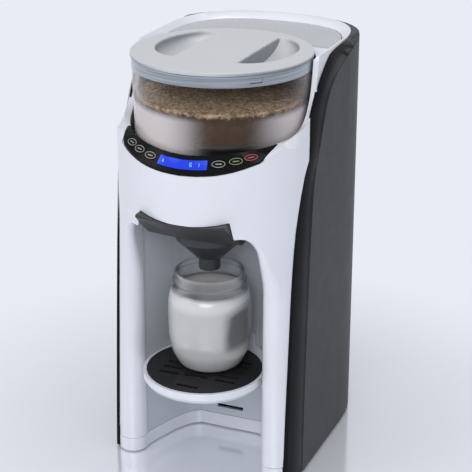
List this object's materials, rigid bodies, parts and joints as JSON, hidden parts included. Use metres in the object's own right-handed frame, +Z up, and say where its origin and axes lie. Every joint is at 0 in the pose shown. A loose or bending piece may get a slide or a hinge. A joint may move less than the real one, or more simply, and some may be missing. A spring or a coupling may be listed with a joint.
{
  "type": "baby_formula_maker",
  "caption": "Countertop baby formula maker with powder container, water tank, mixing funnel, drip tray and bottle",
  "frame": {"origin": "on the floor under the centre of the bounding box", "axes": "+Z up, -Y towards the bottle bay and control panel, +X to the right of someone facing its front"},
  "size_m": [0.184, 0.2533, 0.3726],
  "materials": {
    "white_plastic": "moulded ABS, glossy",
    "lid_plastic": "moulded ABS, satin",
    "liner_plastic": "moulded ABS, satin, light grey",
    "grey_plastic": "moulded ABS, satin grey",
    "charcoal_plastic": "moulded ABS, fine satin grain",
    "gloss_black": "moulded ABS, high gloss",
    "clear_plastic": "clear copolyester",
    "blue_grey_clear": "tinted clear copolyester",
    "milky_plastic": "translucent polypropylene",
    "powder": "loose pale powder, standing in for the fill",
    "display_blue": "clear window over a lit blue display",
    "steel": "stainless steel, brushed",
    "nylon": "natural nylon, moulded",
    "rubber": "soft black rubber",
    "pump_black": "glass-filled nylon, black",
    "circuit_green": "fibreglass board with green mask",
    "silicone": "food-grade silicone, translucent"
  },
  "bodies": {
    "base": {"front_housing": "white_plastic", "bay_liner": "liner_plastic", "side_panel_left": "charcoal_plastic", "side_panel_right": "charcoal_plastic", "rear_cover": "charcoal_plastic", "base_plate": "white_plastic", "rubber_foot_1": "rubber", "rubber_foot_2": "rubber", "rubber_foot_3": "rubber", "rubber_foot_4": "rubber", "base_screw_1": "steel", "base_screw_2": "steel", "base_screw_3": "steel", "base_screw_4": "steel", "inner_frame": "grey_plastic", "container_seat": "grey_plastic", "powder_chute": "nylon", "gear_case": "grey_plastic", "drive_motor": "steel", "control_panel": "gloss_black", "display_window": "display_blue", "display_board": "circuit_green", "main_board": "circuit_green", "power_inlet": "gloss_black", "tank_dock": "grey_plastic", "dock_pin": "grey_plastic", "water_heater": "steel", "water_pump": "pump_black", "supply_tube": "silicone", "heater_tube": "silicone", "outlet_tube": "silicone", "water_nozzle": "nylon"},
    "container": {"powder_container": "clear_plastic", "container_collar": "blue_grey_clear", "wheel_cover": "clear_plastic", "powder_fill": "powder"},
    "lid_seal": {"lid_gasket": "silicone"},
    "lid": {"lid": "lid_plastic"},
    "metering": {"metering_wheel": "nylon", "stirrer": "nylon"},
    "drive_gear": {"drive_gear": "nylon"},
    "motor_pinion": {"motor_pinion": "nylon"},
    "funnel_drawer": {"funnel_holder": "charcoal_plastic", "funnel": "charcoal_plastic"},
    "tray": {"drip_tray": "white_plastic", "drip_grid": "gloss_black"},
    "bottle": {"bottle": "milky_plastic"},
    "water_tank": {"water_tank": "clear_plastic"},
    "tank_lid": {"tank_lid": "white_plastic"},
    "tank_valve": {"tank_valve": "silicone"},
    "power_switch": {"power_switch": "gloss_black"},
    "button_left_1": {"button_left_1": "gloss_black"},
    "button_left_2": {"button_left_2": "gloss_black"},
    "button_left_3": {"button_left_3": "gloss_black"},
    "button_right_1": {"button_right_1": "gloss_black"},
    "button_right_2": {"button_right_2": "gloss_black"},
    "button_right_3": {"button_right_3": "gloss_black"}
  },
  "joints": [
    {"name": "container_lift", "type": "slide", "parent": "base", "child": "container", "axis": [0, 0, 1], "range_m": [0, 0.095]},
    {"name": "lid_lift", "type": "slide", "parent": "container", "child": "lid_seal", "axis": [0, 0, 1], "range_m": [0, 0.06]},
    {"name": "lid_twist", "type": "hinge", "parent": "lid_seal", "child": "lid", "pos_m": [0, -0.0297, 0.3726], "axis": [0, 0, 1], "range_deg": [0, 30]},
    {"name": "metering_spin", "type": "hinge", "parent": "container", "child": "metering", "pos_m": [0, -0.0297, 0.27], "axis": [0, 0, 1], "continuous": true},
    {"name": "drive_spin", "type": "hinge", "parent": "base", "child": "drive_gear", "pos_m": [0, -0.0297, 0.26], "axis": [0, 0, 1], "continuous": true},
    {"name": "pinion_spin", "type": "hinge", "parent": "base", "child": "motor_pinion", "pos_m": [0, -0.0097, 0.25], "axis": [0, 0, 1], "continuous": true},
    {"name": "funnel_slide", "type": "slide", "parent": "base", "child": "funnel_drawer", "axis": [0, -1, 0], "range_m": [0, 0.06]},
    {"name": "tray_height", "type": "slide", "parent": "base", "child": "tray", "axis": [0, 0, -1], "range_m": [0, 0.064]},
    {"name": "bottle_out", "type": "slide", "parent": "tray", "child": "bottle", "axis": [0, -1, 0], "range_m": [0, 0.11]},
    {"name": "tank_lift", "type": "slide", "parent": "base", "child": "water_tank", "axis": [0, 0, 1], "range_m": [0, 0.28]},
    {"name": "tank_lid_hinge", "type": "hinge", "parent": "water_tank", "child": "tank_lid", "pos_m": [0, 0.1079, 0.3663], "axis": [-1, 0, 0], "range_deg": [0, 65]},
    {"name": "valve_travel", "type": "slide", "parent": "water_tank", "child": "tank_valve", "axis": [0, 0, 1], "range_m": [0, 0.003], "stiffness_N_per_m": 200},
    {"name": "switch_rock", "type": "hinge", "parent": "base", "child": "power_switch", "pos_m": [0.026, 0.1206, 0.034], "axis": [1, 0, 0], "range_deg": [-8, 8]},
    {"name": "press_left_1", "type": "slide", "parent": "base", "child": "button_left_1", "axis": [0.2265, 0.54, -0.8106], "range_m": [0, 0.0008], "stiffness_N_per_m": 800},
    {"name": "press_left_2", "type": "slide", "parent": "base", "child": "button_left_2", "axis": [0.2319, 0.6505, -0.7232], "range_m": [0, 0.0008], "stiffness_N_per_m": 800},
    {"name": "press_left_3", "type": "slide", "parent": "base", "child": "button_left_3", "axis": [0.165, 0.7244, -0.6694], "range_m": [0, 0.0008], "stiffness_N_per_m": 800},
    {"name": "press_right_1", "type": "slide", "parent": "base", "child": "button_right_1", "axis": [-0.1772, 0.7207, -0.6703], "range_m": [0, 0.0008], "stiffness_N_per_m": 800},
    {"name": "press_right_2", "type": "slide", "parent": "base", "child": "button_right_2", "axis": [-0.227, 0.6528, -0.7227], "range_m": [0, 0.0008], "stiffness_N_per_m": 800},
    {"name": "press_right_3", "type": "slide", "parent": "base", "child": "button_right_3", "axis": [-0.2345, 0.5346, -0.8119], "range_m": [0, 0.0008], "stiffness_N_per_m": 800}
  ],
  "couplings": [
    {"joint": "drive_spin", "follows": "metering_spin", "ratio": 1},
    {"joint": "pinion_spin", "follows": "metering_spin", "ratio": -2.3333}
  ]
}
